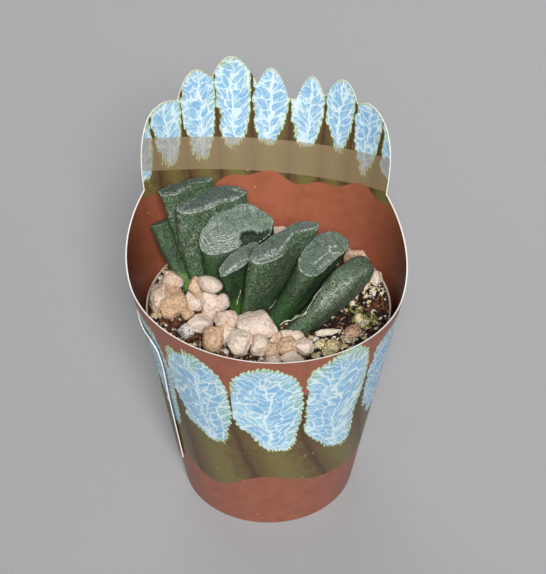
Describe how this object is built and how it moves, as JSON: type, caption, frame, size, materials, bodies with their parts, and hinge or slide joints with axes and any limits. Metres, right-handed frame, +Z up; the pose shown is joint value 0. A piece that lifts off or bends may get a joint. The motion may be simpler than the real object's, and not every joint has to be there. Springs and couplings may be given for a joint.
{
  "type": "potted haworthia",
  "caption": "Small window-leaved succulent in a nursery pot with gravel mulch, standing in a conical printed card sleeve with a lobed display crest at the back.",
  "frame": {"origin": "centre of the pot's foot, on the surface that it stands on", "axes": "+Z up, the viewer stands at -Y, the sleeve's crest rises at +Y"},
  "size_m": [0.0622, 0.0667, 0.0926],
  "materials": {
    "sleeve_card": "coated, softly glossy print",
    "pot_plastic": "thin, translucent",
    "soil": "loose fibrous mix, matt",
    "root": "matt",
    "leaf": "fleshy, waxy, with fine pale grain",
    "gravel": "porous, matt",
    "grey_gravel": "porous, matt",
    "bark": "rough",
    "pale_wood": "rough"
  },
  "bodies": {
    "root": {"sleeve": "sleeve_card", "grow_pot": "pot_plastic", "soil": "soil", "stem_and_roots": "root", "leaf_1": "leaf", "leaf_2": "leaf", "leaf_3": "leaf", "leaf_4": "leaf", "leaf_5": "leaf", "leaf_6": "leaf", "leaf_7": "leaf", "leaf_8": "leaf", "gravel_front": "gravel", "gravel_back": "gravel", "gravel_grey": "grey_gravel", "gravel_rear": "gravel", "bark_chip": "bark", "wood_sliver": "pale_wood"}
  },
  "joints": []
}
